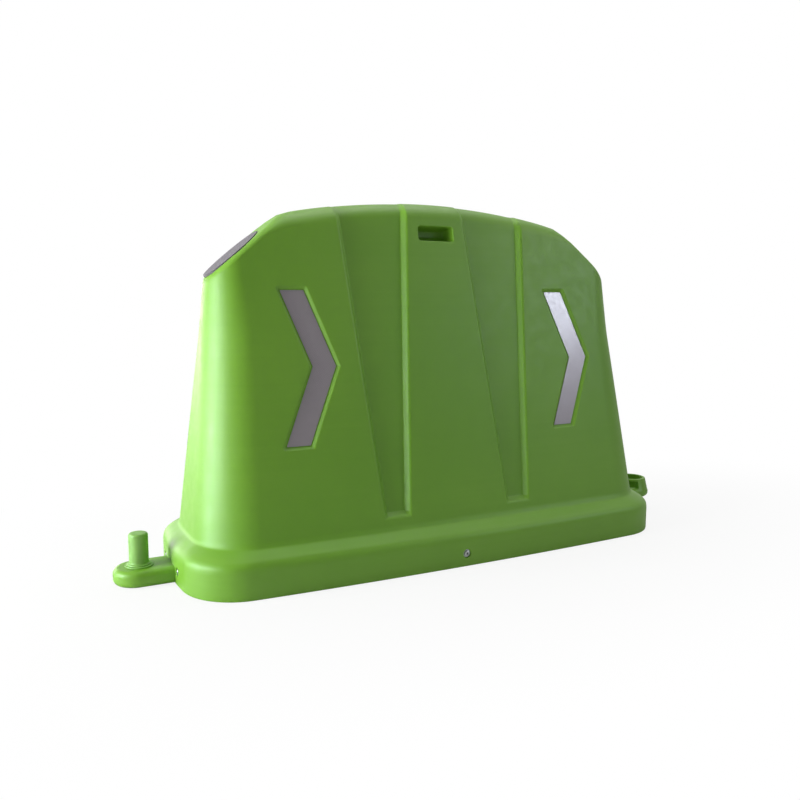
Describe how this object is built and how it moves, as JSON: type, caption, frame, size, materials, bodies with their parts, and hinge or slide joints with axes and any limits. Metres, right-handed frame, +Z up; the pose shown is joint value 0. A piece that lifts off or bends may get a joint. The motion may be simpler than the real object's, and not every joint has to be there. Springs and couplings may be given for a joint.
{
  "type": "plastic safety barrier",
  "caption": "Hollow moulded road barrier with tapered body, arrow reflectors, hand pockets, heavy foot slab, coupling pin at one end and coupling eye at the other.",
  "frame": {"origin": "middle of the footprint, on the ground", "axes": "+X along the barrier from the pin end to the eye end, +Z up, the front with the arrows that point to +X faces -Y"},
  "size_m": [1.5, 0.465, 0.835],
  "materials": {
    "shell": "satin",
    "ballast": "matte",
    "steel": "satin",
    "insert": "satin",
    "reflective_sheet": "gloss"
  },
  "bodies": {
    "root": {"hood": "shell", "ballast_slab": "ballast", "coupling_pin": "shell", "pin_insert": "insert", "pin_bolt": "steel", "pin_washer": "steel", "side_screws": "steel", "side_washers": "steel", "side_inserts": "insert", "chevron_front_left": "reflective_sheet", "chevron_front_right": "reflective_sheet", "chevron_rear_left": "reflective_sheet", "chevron_rear_right": "reflective_sheet", "reflector_left": "reflective_sheet", "reflector_right": "reflective_sheet"}
  },
  "joints": []
}
